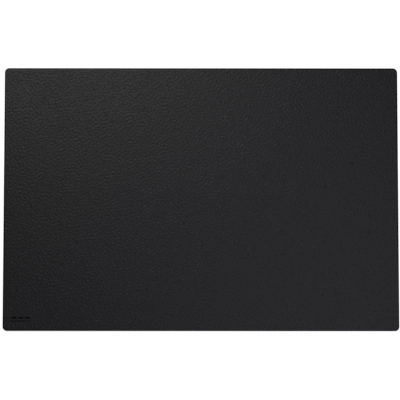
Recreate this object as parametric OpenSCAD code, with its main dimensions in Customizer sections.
// Self-healing cutting mat: five flat plies, laminated face to face.
//
// The mat lies on its underside. The origin is the centre of the underside, +Z is up, +X runs along the
// long side and +Y along the short side, away from the person who works at it.
// All lengths are in millimetres.

/* [Outline] */
// Length of the mat along X
mat_length = 450; // [300:10:900]
// Width of the mat along Y
mat_width = 300; // [220:10:600]
// Radius of the four corners, seen from above
corner_radius = 5; // [3:0.5:12]

/* [Plies] */
// Thickness of each soft self-healing ply
healing_thickness = 0.9; // [0.6:0.1:1.3]
// Thickness of each film between a self-healing ply and the core
film_thickness = 0.25; // [0.15:0.05:0.4]
// Thickness of the rigid core
core_thickness = 0.7; // [0.4:0.1:1.2]

/* [Cut edge] */
// Radius that the cutting die leaves along the outer edge of each self-healing ply
arris_radius = 0.35; // [0.1:0.05:0.5]
// How far the edge of each film stands back from the edge of the soft plies
film_setback = 0.06; // [0:0.01:0.2]
// How far the edge of the core stands back from the edge of the soft plies
core_setback = 0.12; // [0:0.01:0.2]

/* [Hidden] */
$fn = 64;

// Height of each ply's lower face
lower_film_z = healing_thickness;
core_z = lower_film_z + film_thickness;
upper_film_z = core_z + core_thickness;
top_layer_z = upper_film_z + film_thickness;

// Half-profile of a soft ply's edge: a strip as wide as the corner radius, rounded at its top outer corner
module edge_profile(thickness) {
    square([corner_radius, thickness - arris_radius]);
    square([corner_radius - arris_radius, thickness]);
    translate([corner_radius - arris_radius, thickness - arris_radius])
        circle(r = arris_radius);
}

// A flat plate with rounded corners, standing on z = 0, its outline set back from the mat's
module flat_plate(thickness, setback) {
    length = mat_length - 2 * setback;
    width = mat_width - 2 * setback;
    radius = corner_radius - setback;
    translate([-length / 2 + radius, -width / 2, 0])
        cube([length - 2 * radius, width, thickness]);
    translate([-length / 2, -width / 2 + radius, 0])
        cube([length, width - 2 * radius, thickness]);
    for (x = [-1, 1], y = [-1, 1])
        translate([x * (length / 2 - radius), y * (width / 2 - radius), 0])
            cylinder(r = radius, h = thickness);
}

// A soft ply, standing on z = 0, with its upper outer edge rounded by the cutting die
module healing_ply() {
    straight_x = mat_length - 2 * corner_radius;
    straight_y = mat_width - 2 * corner_radius;
    translate([-straight_x / 2, -straight_y / 2, 0])
        cube([straight_x, straight_y, healing_thickness]);
    for (x = [0, 1], y = [0, 1])
        mirror([x, 0, 0])
            mirror([0, y, 0])
                translate([straight_x / 2, straight_y / 2, 0])
                    rotate_extrude(angle = 90)
                        edge_profile(healing_thickness);
    for (side = [0, 1])
        mirror([side, 0, 0])
            translate([straight_x / 2, straight_y / 2, 0])
                rotate([90, 0, 0])
                    linear_extrude(height = straight_y)
                        edge_profile(healing_thickness);
    for (side = [0, 1])
        mirror([0, side, 0])
            translate([-straight_x / 2, straight_y / 2, 0])
                rotate([90, 0, 90])
                    linear_extrude(height = straight_x)
                        edge_profile(healing_thickness);
}

// Soft ply under the mat, the same sheet turned over, so that its rounded edge meets the table
module bottom_healing_layer() {
    color([0.10, 0.10, 0.105])
        translate([0, 0, healing_thickness])
            mirror([0, 0, 1])
                healing_ply();
}

// Film that joins the lower soft ply to the core
module lower_film() {
    color([0.16, 0.16, 0.17])
        translate([0, 0, lower_film_z])
            flat_plate(film_thickness, film_setback);
}

// Rigid sheet that keeps the mat flat and stops the blade
module core_sheet() {
    color([0.26, 0.26, 0.27])
        translate([0, 0, core_z])
            flat_plate(core_thickness, core_setback);
}

// Film that joins the upper soft ply to the core
module upper_film() {
    color([0.16, 0.16, 0.17])
        translate([0, 0, upper_film_z])
            flat_plate(film_thickness, film_setback);
}

// Soft ply that takes the cuts and closes up again
module top_healing_layer() {
    color([0.15, 0.15, 0.155])
        translate([0, 0, top_layer_z])
            healing_ply();
}

bottom_healing_layer();
lower_film();
core_sheet();
upper_film();
top_healing_layer();
